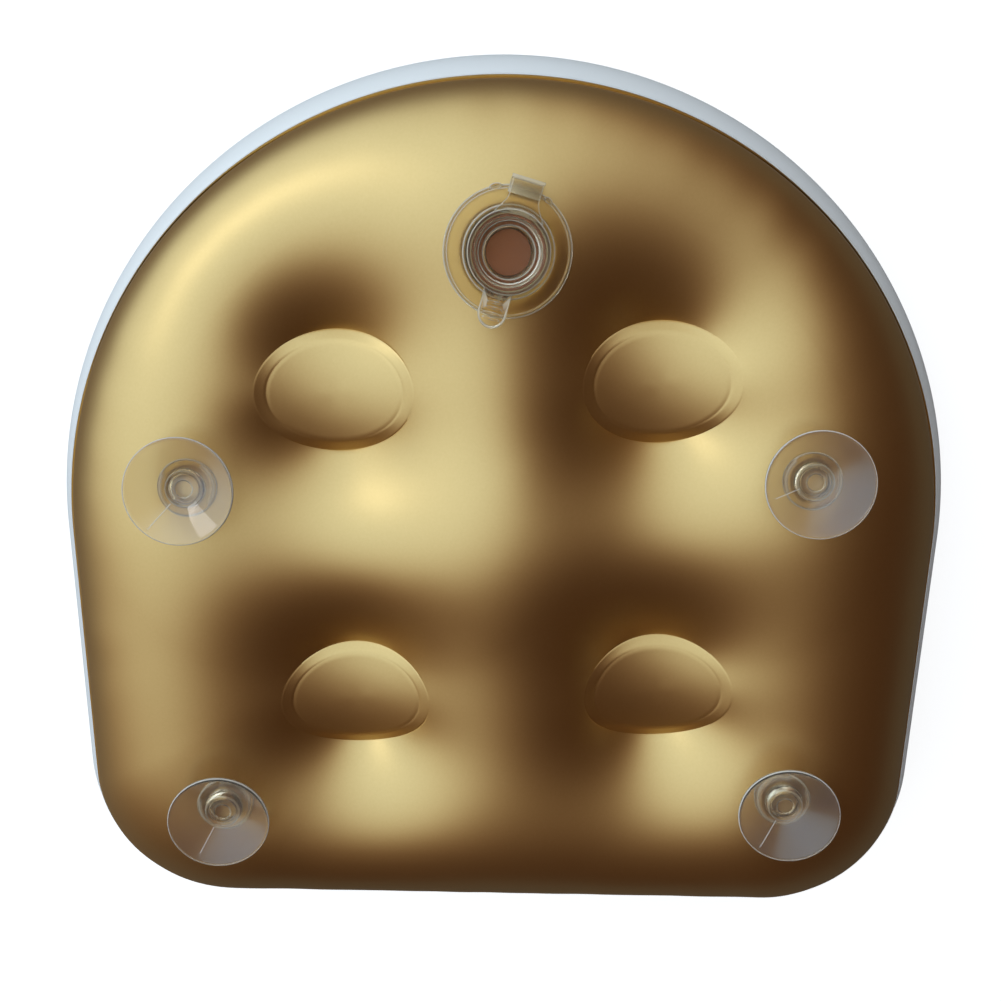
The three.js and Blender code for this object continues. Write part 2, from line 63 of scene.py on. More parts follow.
camera_data = bpy.data.cameras.new("camera")
camera_data.sensor_width = SENSOR_WIDTH
camera_data.lens = FOCAL_PIXELS / IMAGE_SIDE * SENSOR_WIDTH
camera_data.shift_x = -PICTURE_RIGHT / IMAGE_SIDE
camera_data.shift_y = -PICTURE_UP / IMAGE_SIDE
camera = bpy.data.objects.new("camera", camera_data)
bpy.context.scene.collection.objects.link(camera)
bpy.context.scene.camera = camera
backwards = np.array([0, np.sin(CAMERA_TIP), np.cos(CAMERA_TIP)])
level_up = np.array([0, np.cos(CAMERA_TIP), -np.sin(CAMERA_TIP)])
level_right = np.array([1, 0, 0])
camera_right = np.cos(CAMERA_ROLL) * level_right + np.sin(CAMERA_ROLL) * level_up
camera_up = np.cos(CAMERA_ROLL) * level_up - np.sin(CAMERA_ROLL) * level_right
camera_matrix = np.eye(4)
camera_matrix[:3, :3] = np.stack([camera_right, camera_up, backwards], -1)
camera_matrix[:3, 3] = MM * (AIM + CAMERA_DISTANCE * backwards)
camera.matrix_world = Matrix(camera_matrix.tolist())

# Gold front film: soft vinyl with a satin metallic face, welded to the white film round the arched
# outline and at four ovals, and swollen by the air between them. The welds pull it down in wide dimples,
# and a round hole near the arched end takes the barrel of the air valve.
SEAM_WIDTH = 397
SEAM_LENGTH = 387
CORNER_RADIUS = 63
SEAM_HEIGHT = 60
FRONT_RISE = 54
FRONT_FULLNESS = 2.5
FRONT_SHOULDER = 0.6
WELD_WIDTH = 68.5
WELD_DEPTH = 53.5
WELD_PITCH_X = 140
WELD_PITCH_Y = 144
WELD_TURN = np.radians(2.5)
WELD_LEVEL = 10
WELD_BOW = 11
WELD_CROWN = 4.4
WELD_RING = 5
RING_TWIST = 1.2
RING_RISE = 0.5
BEAD_SLOPE, BEAD_WIDTH = 0.4, 0.5
PRESS_DEPTH, PRESS_WIDTH = 0.12, 0.4
LOWER_TILT = 0.07
PUCKER_REACH = 7
PUCKER_HEIGHT = 0.12
PUCKER_WAVES = ((46, 0, 5, 0), (30, 1.3, 4, 0.7))
FRONT_DIMPLE = (131, 2)
FILM = 0.6
GAP = 0.3
FIN_WIDTH = 1.2
FIN_TILT = np.radians(45)
OUTLINE_STEPS = 96
LINE_STEPS = 44
DIMPLE_STEPS = 34
DIMPLE_SPACING = 1.5
BAND_STEPS = 18
BAND_START = 0.8
RING_INSETS = np.array([0, 0.4, 0.8, 1.3, 2.5, 3.8, 4.4, 4.8, 5.2, 5.8, 7])
DISC_SHARES = np.array([0.8, 0.6, 0.4, 0.2, 0])
ON_EDGE = 1 + 1e-6
SMOOTH_ANGLE = np.radians(40)
GOLD_GRAIN = 1.2
GRAIN_HEIGHT = 0.1
BODY_SHARE = 0.24
STRAP_FOLD = 28
FOLD_HEIGHT = 9.5
BARREL_RADIUS = 16.5
BARREL_DEPTH = 10
ARCH_RADIUS = SEAM_WIDTH / 2
ARCH_CENTRE_Y = SEAM_LENGTH / 2 - ARCH_RADIUS
STRAIGHT_END = SEAM_LENGTH - ARCH_RADIUS
WELD_SIDES = [(1, 1), (-1, 1), (-1, -1), (1, -1)]


def outline_reach(angle, grow):
    """Distance from the arch centre to the outline, grown outwards, along a direction: a half circle on
    the arched side, and two straight sides, a straight end and two round corners on the other."""
    half, end, bend = ARCH_RADIUS + grow, STRAIGHT_END + grow, CORNER_RADIUS + grow
    across, down = np.abs(np.cos(angle)), np.maximum(-np.sin(angle), 1e-12)
    to_side = half / np.maximum(across, 1e-12)
    to_end = end / down
    middle = across * (half - bend) + down * (end - bend)
    off = (half - bend) ** 2 + (end - bend) ** 2 - bend ** 2
    to_corner = middle + np.sqrt(np.maximum(middle ** 2 - off, 0))
    straight = np.where(to_end * across <= half - bend, to_end, to_corner)
    lower = np.where(to_side * down <= end - bend, to_side, straight)
    return np.where(np.sin(angle) >= 0, half, lower)


def swell(u, v, grow, fullness, shoulder):
    """One at the arch centre and nought at the outline: one less the share of the way out raised to the
    fullness, and all of it raised to the shoulder."""
    share = np.hypot(u, v) / outline_reach(np.arctan2(v, u), grow)
    return np.maximum(0, 1 - share ** fullness) ** shoulder


def turned(u, v, angle):
    """A plane vector turned by an angle."""
    return u * np.cos(angle) - v * np.sin(angle), u * np.sin(angle) + v * np.cos(angle)


def weld_relief(inset):
    """Height of the weld's print by the distance inside its edge: a fine bead along the edge, a ring that
    slopes up from it, and a pressed line where the ring meets the disc."""
    bead = BEAD_SLOPE * np.maximum(inset, 0) * np.exp(-np.maximum(inset, 0) / BEAD_WIDTH)
    line = -PRESS_DEPTH * np.exp(-((inset - WELD_RING) / PRESS_WIDTH) ** 2)
    return bead + line + RING_RISE * np.minimum(inset / WELD_RING, 1)


def tied(u, v, swollen, level, dimple):
    """Height of a swollen film that four ovals pull down. Each oval is a saddle, with its two ends raised
    and its middle between, whose ring rises further at the ends and falls at the sides. The two ovals by
    the straight end lean towards it. From an oval's edge out to the dimple's radius the film climbs a
    softened quarter circle, and the climbs multiply."""
    radius, softness = dimple
    flat_u, flat_v = turned(u, v, -WELD_TURN)
    climb, edge, weight = np.ones_like(u), np.zeros_like(u), np.zeros_like(u)
    inside, nearest = np.zeros_like(u), np.full_like(u, np.inf)
    for side_x, side_y in WELD_SIDES:
        du = flat_u - side_x * WELD_PITCH_X / 2
        dv = flat_v - side_y * WELD_PITCH_Y / 2
        across, along = du / (WELD_WIDTH / 2), dv / (WELD_DEPTH / 2)
        share = np.maximum(np.hypot(across, along), 1e-9)
        oval = np.where(share > 1e-6, np.hypot(du, dv) / share, WELD_WIDTH / 2)
        out = np.clip((oval * share - oval) / (radius - oval), 0, 1)
        rise = (1 - (1 - out) ** 2) ** (softness / 2)
        held = share <= ON_EDGE
        inset = oval * (1 - share)
        twist = RING_TWIST * (2 * (across / share) ** 2 - 1)
        tilt = LOWER_TILT * dv if side_y < 0 else 0 * dv
        saddle = level + WELD_BOW * across ** 2 + WELD_CROWN * (1 - share ** 2)
        ring = twist * np.maximum(0, 1 - inset / WELD_RING)
        bowed = saddle + weld_relief(inset) + tilt + ring
        inside = np.where(held, bowed, inside)
        nearest = np.minimum(nearest, share)
        climb = climb * np.where(held, 1, rise)
        edge = edge + (1 - rise) * (level + WELD_BOW * (across / share) ** 2 + tilt / share + twist)
        weight = weight + 1 - rise
    low = np.where(weight > 0, edge / np.maximum(weight, 1e-12), swollen)
    return np.where(nearest <= ON_EDGE, inside, low + (swollen - low) * climb)


def pucker(u, v):
    """Height of the fine gathers beside the seam: two sine waves along the outline, of uneven strength,
    that start at the seam, are highest a little inside it and die away further in."""
    angle = np.arctan2(v, u)
    inset = np.maximum(outline_reach(angle, 0) - np.hypot(u, v), 0) / PUCKER_REACH
    wave = sum(np.sin(count * angle + start) * np.sin(beat * angle + beat_start)
               for count, start, beat, beat_start in PUCKER_WAVES)
    return PUCKER_HEIGHT * wave * inset * np.exp(1 - inset)


def front_height(u, v):
    """Height of the gold film over the floor."""
    swollen = SEAM_HEIGHT + FRONT_RISE * swell(u, v, 0, FRONT_FULLNESS, FRONT_SHOULDER)
    return tied(u, v, swollen, SEAM_HEIGHT + WELD_LEVEL, FRONT_DIMPLE) + pucker(u, v)


def quarter_outline(side_x, side_y, grow):
    """Points and outward directions along a quarter of the outline, from the long axis to the side."""
    half = ARCH_RADIUS + grow
    if side_y > 0:
        angle = np.linspace(np.pi / 2, 0, OUTLINE_STEPS + 1)
        out = np.stack([np.cos(angle), np.sin(angle)], -1)
        line = half * out
    else:
        end, bend = STRAIGHT_END + grow, CORNER_RADIUS + grow
        run = np.linspace(0, half - bend + bend * np.pi / 2 + end - bend, OUTLINE_STEPS + 1)
        angle = np.pi / 2 - np.clip((run - (half - bend)) / bend, 0, np.pi / 2)
        out = np.stack([np.cos(angle), -np.sin(angle)], -1)
        line = np.array([half - bend, bend - end]) + bend * out
        line[:, 0] -= np.maximum(half - bend - run, 0)
        line[:, 1] += np.maximum(run - (half - bend) - bend * np.pi / 2, 0)
    mirror = np.array([side_x, 1])
    return line * mirror, out * mirror


def quilt(grow, height):
    """Grids of a film: in each quarter, rows from the middle of its weld over the oval's edge and up the
    dimple to the quarter's border, then rows over the band along the outline."""
    plans = []
    for side_x, side_y in WELD_SIDES:
        line, _ = quarter_outline(side_x, side_y, grow)
        steps = np.arange(1, LINE_STEPS + 1)[:, None] / LINE_STEPS
        border = np.concatenate([
            line * BAND_START, line[-1] * BAND_START * (1 - steps), line[0] * BAND_START * steps])
        middle = np.array(turned(side_x * WELD_PITCH_X / 2, side_y * WELD_PITCH_Y / 2, WELD_TURN))
        span = border - middle
        reach = np.hypot(*span.T)
        across, along = turned(span[:, 0], span[:, 1], -WELD_TURN)
        oval = reach / np.hypot(across / (WELD_WIDTH / 2), along / (WELD_DEPTH / 2))
        disc = (oval - RING_INSETS[-1]) * DISC_SHARES[::-1, None]
        ring = oval - RING_INSETS[::-1, None]
        blend = (np.arange(1, DIMPLE_STEPS + 1)[:, None] / DIMPLE_STEPS) ** DIMPLE_SPACING
        far = np.concatenate([disc, ring, oval + (reach - oval) * blend])
        plans.append(middle + span * (far / reach)[..., None])
        shares = BAND_START + (1 - BAND_START) * np.sin(np.pi / 2 * np.linspace(0, 1, BAND_STEPS + 1))
        plans.append(line * shares[:, None, None])
    return [np.stack([plan[..., 0], plan[..., 1] + ARCH_CENTRE_Y, height(plan[..., 0], plan[..., 1])], -1)
            for plan in plans]


def rim(grow, profile):
    """Grids that carry a profile of outward and upward offsets from the seam line along the outline."""
    grids = []
    for side_x, side_y in WELD_SIDES:
        line, out = quarter_outline(side_x, side_y, grow)
        plan = line + out * profile[:, 0, None, None]
        height = np.broadcast_to(SEAM_HEIGHT + profile[:, 1, None], plan.shape[:2])
        grids.append(np.stack([plan[..., 0], plan[..., 1] + ARCH_CENTRE_Y, height], -1))
    return grids


def piece_from(name, grids):
    """A mesh of all the grids' cells, in metres, with points that coincide made one."""
    points, cells, start = [], [], 0
    for grid in grids:
        rows, columns = grid.shape[:2]
        index = start + np.arange(rows * columns).reshape(rows, columns)
        corners = [index[:-1, :-1], index[:-1, 1:], index[1:, 1:], index[1:, :-1]]
        cells.append(np.stack(corners, -1).reshape(-1, 4))
        points.append(grid.reshape(-1, 3) * MM)
        start += rows * columns
    mesh = bpy.data.meshes.new(name)
    mesh.from_pydata(np.concatenate(points).tolist(), [], np.concatenate(cells).tolist())
    shape = bmesh.new()
    shape.from_mesh(mesh)
    bmesh.ops.remove_doubles(shape, verts=shape.verts, dist=MM / 1000)
    bmesh.ops.recalc_face_normals(shape, faces=shape.faces)
    shape.to_mesh(mesh)
    shape.free()
    smooth(mesh)
    piece = bpy.data.objects.new(name, mesh)
    bpy.context.scene.collection.objects.link(piece)
    return piece


def smooth(mesh):
    """Shades a mesh smooth, apart from its sharp edges."""
    mesh.polygons.foreach_set("use_smooth", np.ones(len(mesh.polygons), bool))
    mesh.set_sharp_from_angle(angle=SMOOTH_ANGLE)


def face_up(piece, upwards):
    """Turns an open film so that its middle faces up or down."""
    normals = np.zeros(len(piece.data.polygons) * 3)
    piece.data.polygons.foreach_get("normal", normals)
    if (normals[2::3].sum() > 0) != upwards:
        piece.data.flip_normals()


def add_thickness(piece, thickness):
    """A wall of the film's thickness on the inside of its surface."""
    wall = piece.modifiers.new("wall", "SOLIDIFY")
    wall.thickness = thickness * MM
    wall.offset = -1


def combine(piece, others, operation):
    """Joins closed pieces to a piece, or cuts them out of it, and keeps the result as its mesh."""
    for other in others:
        step = piece.modifiers.new("combine", "BOOLEAN")
        step.operation = operation
        step.solver = "EXACT"
        step.object = other
    bpy.context.view_layer.update()
    whole = piece.evaluated_get(bpy.context.evaluated_depsgraph_get())
    mesh = bpy.data.meshes.new_from_object(whole)
    piece.modifiers.clear()
    piece.data = mesh
    for other in others:
        bpy.data.objects.remove(other)
    smooth(mesh)


def lathe(profile, steps=96):
    """A profile of radius and height carried round the upright axis."""
    angles = np.linspace(0, 2 * np.pi, steps + 1)
    radius, height = profile[:, 0, None], profile[:, 1, None]
    return np.stack([radius * np.cos(angles), radius * np.sin(angles), height + 0 * angles], -1)


def placed(grid, centre, axes):
    """A grid of a piece's own frame put in its place."""
    return grid @ axes + centre


def linear(colour):
    """The linear colour of an sRGB hex value."""
    parts = np.array([int(colour[start:start + 2], 16) for start in (1, 3, 5)]) / 255
    return (*np.where(parts <= 0.04045, parts / 12.92, ((parts + 0.055) / 1.055) ** 2.4), 1)


def add_node(tree, kind, inputs=None, **settings):
    """Adds a node with its settings, and gives each named input a value or links it to an output."""
    node = tree.nodes.new(kind)
    for name, value in settings.items():
        setattr(node, name, value)
    for name, value in (inputs or {}).items():
        if isinstance(value, bpy.types.NodeSocket):
            tree.links.new(value, node.inputs[name])
        else:
            node.inputs[name].default_value = value
    return node


def new_material(name):
    """An empty material and its node tree."""
    material = bpy.data.materials.new(name)
    material.use_nodes = True
    material.node_tree.nodes.clear()
    return material, material.node_tree


def dress(piece, material):
    """Gives a piece its one material."""
    piece.data.materials.clear()
    piece.data.materials.append(material)


joints = {joint["name"]: joint for joint in frame["joints"]}


def joint_line(name):
    """A joint's point, in millimetres, and its axis."""
    return np.array(joints[name]["pos_m"]) / MM, np.array(joints[name]["axis"])


fold_point, fold_axis = joint_line("plug_hinge")
flap_point, _ = joint_line("flap_hinge")
valve_x = -fold_axis
lean = np.arctan2(FOLD_HEIGHT + BARREL_DEPTH + GAP, STRAP_FOLD - BARREL_RADIUS)
between = (fold_point - flap_point) / np.linalg.norm(fold_point - flap_point)
valve_y = np.cos(lean) * between - np.sin(lean) * np.cross(valve_x, between)
valve_z = np.cross(valve_x, valve_y)
valve_centre = fold_point - STRAP_FOLD * valve_y - FOLD_HEIGHT * valve_z
valve_axes = np.stack([valve_x, valve_y, valve_z])


def in_valve(grid):
    """A grid of the valve's own frame put in its place."""
    return placed(grid, valve_centre, valve_axes)


fin_out, fin_up = np.cos(FIN_TILT), np.sin(FIN_TILT)
gold_fin = np.array([[0, 0], [fin_out * FIN_WIDTH, fin_up * FIN_WIDTH]])
gold_film = piece_from("gold_front", quilt(0, front_height) + rim(0, gold_fin))
face_up(gold_film, True)
add_thickness(gold_film, FILM)
hole_profile = np.array([[0, -1], [1, -1], [1, 1], [0, 1]]) * [BARREL_RADIUS + GAP, 2 * BARREL_DEPTH]
hole = piece_from("hole", [in_valve(lathe(hole_profile))])
combine(gold_film, [hole], "DIFFERENCE")

# Satin metallic vinyl: fine pale gold flakes in a soft brown film. The flakes mirror the light wide and
# softly, and the brown of the film shows where they have nothing bright to mirror. The grain is drawn
# coarser than real flakes are, so that it can show.
gold_vinyl, tree = new_material("satin_metallic_vinyl")
place = add_node(tree, "ShaderNodeTexCoord").outputs["Object"]
grain = add_node(tree, "ShaderNodeTexNoise", {
    "Vector": place, "Scale": 1 / (GOLD_GRAIN * MM), "Detail": 3.0})
tint = add_node(tree, "ShaderNodeValToRGB", {"Fac": grain.outputs["Fac"]})
tint.color_ramp.elements[0].color = linear("#dec485")
tint.color_ramp.elements[1].color = linear("#e6cc8f")
bump = add_node(tree, "ShaderNodeBump", {
    "Height": grain.outputs["Fac"], "Strength": 0.05, "Distance": GRAIN_HEIGHT * MM})
flakes = add_node(tree, "ShaderNodeBsdfPrincipled", {
    "Base Color": tint.outputs["Color"], "Metallic": 1.0, "Roughness": 0.39,
    "Normal": bump.outputs["Normal"]})
body = add_node(tree, "ShaderNodeBsdfDiffuse", {"Color": linear("#8f4a16")})
both = add_node(tree, "ShaderNodeMixShader", {"Fac": BODY_SHARE})
tree.links.new(flakes.outputs["BSDF"], both.inputs[1])
tree.links.new(body.outputs["BSDF"], both.inputs[2])
add_node(tree, "ShaderNodeOutputMaterial", {"Surface": both.outputs["Shader"]})
dress(gold_film, gold_vinyl)
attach(gold_film, "cushion")
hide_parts("gold_front_film")

# White back film: plain white vinyl, cut larger than the gold one, so that it leaves the seam outwards
# and rolls round the side of the cushion down to the floor.
BACK_BULGE = 14.5
BULGE_DROP = 34
BACK_FULLNESS = 8
BACK_SHOULDER = 0.5
BACK_DIMPLE = (80, 1.2)
REST_CUT = 0.5
ROLL_STEPS = 14
WHITE_GRAIN = 2
BULGE_HEIGHT = SEAM_HEIGHT - BULGE_DROP
WELD_SLOPE = np.arctan(4 * WELD_BOW / WELD_DEPTH)
WELD_BACK = SEAM_HEIGHT + WELD_LEVEL - 2 * FILM / np.cos(WELD_SLOPE) - GAP


def back_height(u, v):
    """Height of the white film over the floor, which flattens the lowest half millimetre of it."""
    drop = (BULGE_HEIGHT + REST_CUT) * swell(u, v, BACK_BULGE, BACK_FULLNESS, BACK_SHOULDER)
    return np.maximum(0, tied(u, v, BULGE_HEIGHT - drop, WELD_BACK, BACK_DIMPLE))


stack = 2 * FILM + GAP
root = np.array([stack * fin_up - BACK_BULGE, -stack * fin_out])
root_drop = BULGE_DROP + root[1]
roll_radius = (root[0] ** 2 + root_drop ** 2) / (-2 * root[0])
roll = np.linspace(0, np.arctan2(root_drop, roll_radius + root[0]), ROLL_STEPS + 1)
roll_profile = np.stack([roll_radius * (np.cos(roll) - 1), roll_radius * np.sin(roll) - BULGE_DROP], -1)
white_fin = root + np.array([[0, 0], [fin_out * FIN_WIDTH, fin_up * FIN_WIDTH]])
white_profile = np.concatenate([roll_profile[:-1], white_fin])
white_film = piece_from("white_back", quilt(BACK_BULGE, back_height) + rim(BACK_BULGE, white_profile))
face_up(white_film, False)
add_thickness(white_film, FILM)

# White vinyl: smooth calendered sheet with a soft gloss, and a grain drawn coarser than the real one.
white_vinyl, tree = new_material("white_vinyl")
place = add_node(tree, "ShaderNodeTexCoord").outputs["Object"]
grain = add_node(tree, "ShaderNodeTexNoise", {
    "Vector": place, "Scale": 1 / (WHITE_GRAIN * MM), "Detail": 3.0})
bump = add_node(tree, "ShaderNodeBump", {
    "Height": grain.outputs["Fac"], "Strength": 0.05, "Distance": GRAIN_HEIGHT * MM})
shader = add_node(tree, "ShaderNodeBsdfPrincipled", {
    "Base Color": linear("#f3f5f4"), "Roughness": 0.4, "Normal": bump.outputs["Normal"]})
add_node(tree, "ShaderNodeOutputMaterial", {"Surface": shader.outputs["BSDF"]})
dress(white_film, white_vinyl)
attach(white_film, "cushion")
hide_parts("white_back_film")

# Valve base: one moulding of clear soft vinyl, with a thin round flange welded on the gold film, a neck
# for the plug, a barrel through the film and a riser at the flange's edge that carries the plug's strap.
FLANGE_RADIUS = 26
FLANGE_UNDERCUT = 0.3
FLANGE_ROWS = 8
# Radius and lift over the film of the flange's upper skin, from its thick edge in to the neck
FLANGE_SKIN = np.array([
    (26, 0.6), (26, 0.8), (25.7, 1), (25.2, 1), (24.9, 1.05), (24.7, 1.4), (24.5, 1.6),
    (24, 1.65), (22.5, 1.6), (21, 1.6), (19.8, 1.7), (19, 1.85), (18.6, 2.2), (18.3, 2.8)])
NECK_RADIUS = 18.2
NECK_FOOT, NECK_TOP = 5, 8.5
BORE_RADIUS = 14.6
FLANGE_TOP = 2
STRAP_WIDTH = 12
STRAP_THICKNESS = 1.2
FOLD_CLEARANCE = 0.9
RISER_FOOT = 4
RISER_SPARE = 0.6
RISER_ROUNDING = 0.3
# Place round the flange in degrees, half length along its edge, and radius, of the two lumps on the flange
LUMPS = ((117, 2.6, 25.6), (67, 1.9, 25.2))
LUMP_DEPTH, LUMP_HEIGHT, LUMP_LIFT = 1.3, 0.75, 1.2
LUMP_STEPS = 24
BEND_STEPS = 5
SLAB_MARGIN = 1.6
FILM_ROUNDS = 5
FLAT_ANGLE, EDGE_ANGLE = 8, 20


def rounded(corners):
    """A profile through corners of radius, height and rounding: a corner becomes a parabola between the
    points that lie its rounding away along both of its sides."""
    corners = np.array(corners, float)
    points = [corners[:1, :2]]
    bend = np.linspace(0, 1, BEND_STEPS)[:, None]
    for before, corner, after in zip(corners[:-2], corners[1:-1], corners[2:]):
        if corner[2] == 0:
            points.append(corner[None, :2])
            continue
        back, on = before[:2] - corner[:2], after[:2] - corner[:2]
        start = corner[:2] + back * min(corner[2] / np.linalg.norm(back), 0.5)
        stop = corner[:2] + on * min(corner[2] / np.linalg.norm(on), 0.5)
        points.append((1 - bend) ** 2 * start + 2 * bend * (1 - bend) * corner[:2] + bend ** 2 * stop)
    points.append(corners[-1:, :2])
    return np.concatenate(points)


def on_film(grid, axis, lift):
    """Moves points along an axis until they lie a lift above the gold film."""
    for _ in range(FILM_ROUNDS):
        height = front_height(grid[..., 0], grid[..., 1] - ARCH_CENTRE_Y) + lift
        grid = grid + axis * ((height - grid[..., 2]) / axis[2])[..., None]
    return grid


def rings_on_film(radii, lifts, centre, axes):
    """Rings about a piece's own axis, moved along it until each lies its lift above the gold film."""
    flat = lathe(np.stack([radii, np.zeros_like(radii)], -1))
    return on_film(placed(flat, centre, axes), axes[2], np.reshape(lifts, (-1, 1)))


def spun(grid, degrees):
    """A grid of a piece's own frame turned about its upright axis."""
    turn = np.radians(degrees)
    return grid @ np.array([
        [np.cos(turn), np.sin(turn), 0], [-np.sin(turn), np.cos(turn), 0], [0, 0, 1]])


def slab(outline, pole, low, high, rounding):
    """A plate over a closed outline, with rounded edges: rows from a pole in its low face out to the
    outline, up its side and in to a pole in its high face. A row close beside each rounding keeps the
    edge marks off the faces."""
    inward = pole - outline
    inward = inward / np.linalg.norm(inward, axis=1, keepdims=True)
    turn = np.linspace(0, np.pi / 2, BEND_STEPS)
    inset = rounding * (1 - np.sin(turn))
    lift = rounding * (1 - np.cos(turn))
    margin = [SLAB_MARGIN * rounding]
    insets = np.concatenate([margin, inset, inset[::-1], margin])
    heights = np.concatenate([[low], low + lift, high - lift[::-1], [high]])
    rows = outline + inward * insets[:, None, None]
    pole_row = np.broadcast_to(pole, (1, *outline.shape))
    rows = np.concatenate([pole_row, rows, pole_row])
    heights = np.concatenate([[low], heights, [high]])
    return np.concatenate([rows, np.broadcast_to(heights[:, None, None], (*rows.shape[:2], 1))], -1)


def mark_edges(piece):
    """Stores on each point how sharply the surface bends there: nought on flats and one on the small
    roundings of outer edges, from the largest angle between faces that meet at the point."""
    shape = bmesh.new()
    shape.from_mesh(piece.data)
    ends = np.array([[vertex.index for vertex in edge.verts] for edge in shape.edges])
    angles = np.array([max(edge.calc_face_angle_signed(0), 0) for edge in shape.edges])
    shape.free()
    sharpest = np.zeros(len(piece.data.vertices))
    np.maximum.at(sharpest, ends.ravel(), np.repeat(angles, 2))
    marks = piece.data.attributes.new("edge", "FLOAT", "POINT")
    marks.data.foreach_set("value", np.clip(
        (np.degrees(sharpest) - FLAT_ANGLE) / (EDGE_ANGLE - FLAT_ANGLE), 0, 1))


def clear_material(name, tint, roughness, mirror, haze, frost_and_glint):
    """Clear vinyl that passes tinted light, mirrors a share of the usual gloss, has a milky haze all over
    and turns milkier on the roundings of its edges: partly the moulding's frost and partly a painted
    highlight."""
    material, tree = new_material(name)
    edge = add_node(tree, "ShaderNodeAttribute", attribute_name="edge")
    # Less light passes on the edge roundings, so they turn pale: partly frost, partly painted highlight
    # for the glints clear edges catch.
    passing = add_node(tree, "ShaderNodeMath", {0: edge.outputs["Fac"], 1: -frost_and_glint, 2: 1 - haze},
                       operation="MULTIPLY_ADD")
    shader = add_node(tree, "ShaderNodeBsdfPrincipled", {
        "Base Color": linear(tint), "Roughness": roughness, "IOR": 1.5,
        "Specular Tint": (mirror, mirror, mirror, 1), "Transmission Weight": passing.outputs["Value"]})
    add_node(tree, "ShaderNodeOutputMaterial", {"Surface": shader.outputs["BSDF"]})
    return material


flange_radii = np.linspace(BARREL_RADIUS, FLANGE_RADIUS - FLANGE_UNDERCUT, FLANGE_ROWS)
under = rings_on_film(flange_radii, GAP, valve_centre, valve_axes)
skin = rings_on_film(FLANGE_SKIN[:, 0], FLANGE_SKIN[:, 1], valve_centre, valve_axes)
top = rounded([
    (NECK_RADIUS, NECK_FOOT, 0), (NECK_RADIUS, NECK_TOP, 0.8),
    (BORE_RADIUS, NECK_TOP, 0.6), (BORE_RADIUS, -BARREL_DEPTH, 0.5), (BARREL_RADIUS, -BARREL_DEPTH, 0)])
valve_base = piece_from("valve_body", [np.concatenate([
    in_valve(lathe(top[-1:])), under, skin, in_valve(lathe(top))])])

riser_low, riser_high = FLANGE_TOP - STRAP_THICKNESS, FOLD_HEIGHT - FOLD_CLEARANCE
riser_in, riser_out = FLANGE_RADIUS - RISER_FOOT, STRAP_FOLD + STRAP_THICKNESS / 2
riser_half = STRAP_WIDTH / 2 + RISER_SPARE
riser_side = np.array([
    [riser_in, riser_low], [riser_out, riser_low], [riser_out, riser_high],
    [riser_out - STRAP_THICKNESS, riser_high], [riser_out - STRAP_THICKNESS, FLANGE_TOP],
    [riser_in, FLANGE_TOP], [riser_in, riser_low]])
riser_pole = np.array([riser_out - STRAP_THICKNESS / 2, FLANGE_TOP - STRAP_THICKNESS / 2])
riser_grid = slab(riser_side, riser_pole, -riser_half, riser_half, RISER_ROUNDING)
riser = piece_from("riser", [in_valve(riser_grid[..., [2, 0, 1]])])
ball = lathe(rounded([(0, -1, 0), (1, -1, 0.7), (1, 1, 0.7), (0, 1, 0)]), LUMP_STEPS)
lumps = []
for angle, half_length, radius in LUMPS:
    middle = np.array([[radius, 0, 0]])
    lump = in_valve(spun(ball * [LUMP_DEPTH, half_length, LUMP_HEIGHT] + middle, angle))
    flat_middle = in_valve(spun(middle, angle))
    lumps.append(piece_from("lump", [lump + on_film(flat_middle, valve_z, LUMP_LIFT) - flat_middle]))
combine(valve_base, [riser, *lumps], "UNION")

# Clear soft vinyl of the valve: a faint amber tint, little mirror, and pale lines along its edges, partly
# frost and partly painted highlight.
valve_vinyl = clear_material(
    "clear_valve_vinyl", "#fff7e2", roughness=0.08, mirror=0.18, haze=0.02, frost_and_glint=0.45)
mark_edges(valve_base)
dress(valve_base, valve_vinyl)
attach(valve_base, "cushion")
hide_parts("valve_base")

# Check flap: a round leaf cut from the gold film, hung at one side under the barrel, that the air inside
# presses shut. Its brown back shows through the clear plug, and its flat disc needs no finer shape.
FLAP_GRAIN = 3
check_flap = frame["nodes"]["check_flap"]

# Back of the gold film: plain brown vinyl without the metal flakes, satin.
flap_vinyl, tree = new_material("gold_film_back")
place = add_node(tree, "ShaderNodeTexCoord").outputs["Object"]
grain = add_node(tree, "ShaderNodeTexNoise", {
    "Vector": place, "Scale": 1 / (FLAP_GRAIN * MM), "Detail": 2.0})
tint = add_node(tree, "ShaderNodeValToRGB", {"Fac": grain.outputs["Fac"]})
tint.color_ramp.elements[0].color = linear("#b5683a")
tint.color_ramp.elements[1].color = linear("#c07140")
shader = add_node(tree, "ShaderNodeBsdfPrincipled", {
    "Base Color": tint.outputs["Color"], "Roughness": 0.5})
add_node(tree, "ShaderNodeOutputMaterial", {"Surface": shader.outputs["BSDF"]})
dress(check_flap, flap_vinyl)

# Valve plug: a stepped cup of the same clear soft vinyl that presses into the neck and closes it. Its pull
# tab, with a lip round the edge and four ridges for the fingers, is moulded in one with it.
PLUG_RIM_RADIUS = 16.4
PLUG_RIM_LOW, PLUG_RIM_TOP = 8.8, 10.2
SKIRT_TOP_RADIUS = 14.1
SKIRT_END_RADIUS = 13.4
PLUG_LOW = 2.8
WELL_RADIUS, WELL_STEP_RADIUS, WELL_FLOOR_RADIUS = 11.8, 10.2, 9
WELL_STEP = 1.6
PLUG_FLOOR = 1.2
TAB_WIDTH = 11.4
TAB_LENGTH = 13
TAB_LOW, TAB_TOP = 8.9, 10.1
TAB_SINK = 1.5
TAB_ROUNDING = 0.35
RIDGES = 4
RIDGE_PITCH = 2.1
RIDGE_HALF_LENGTH, RIDGE_HALF_WIDTH = 3.4, 0.62
RIDGE_SINK, RIDGE_HEIGHT = 0.4, 0.9
RIDGE_ROUNDING = 0.38
LIP_RADIUS = 0.55
LIP_SINK = 0.1
LIP_NARROWING = 0.93

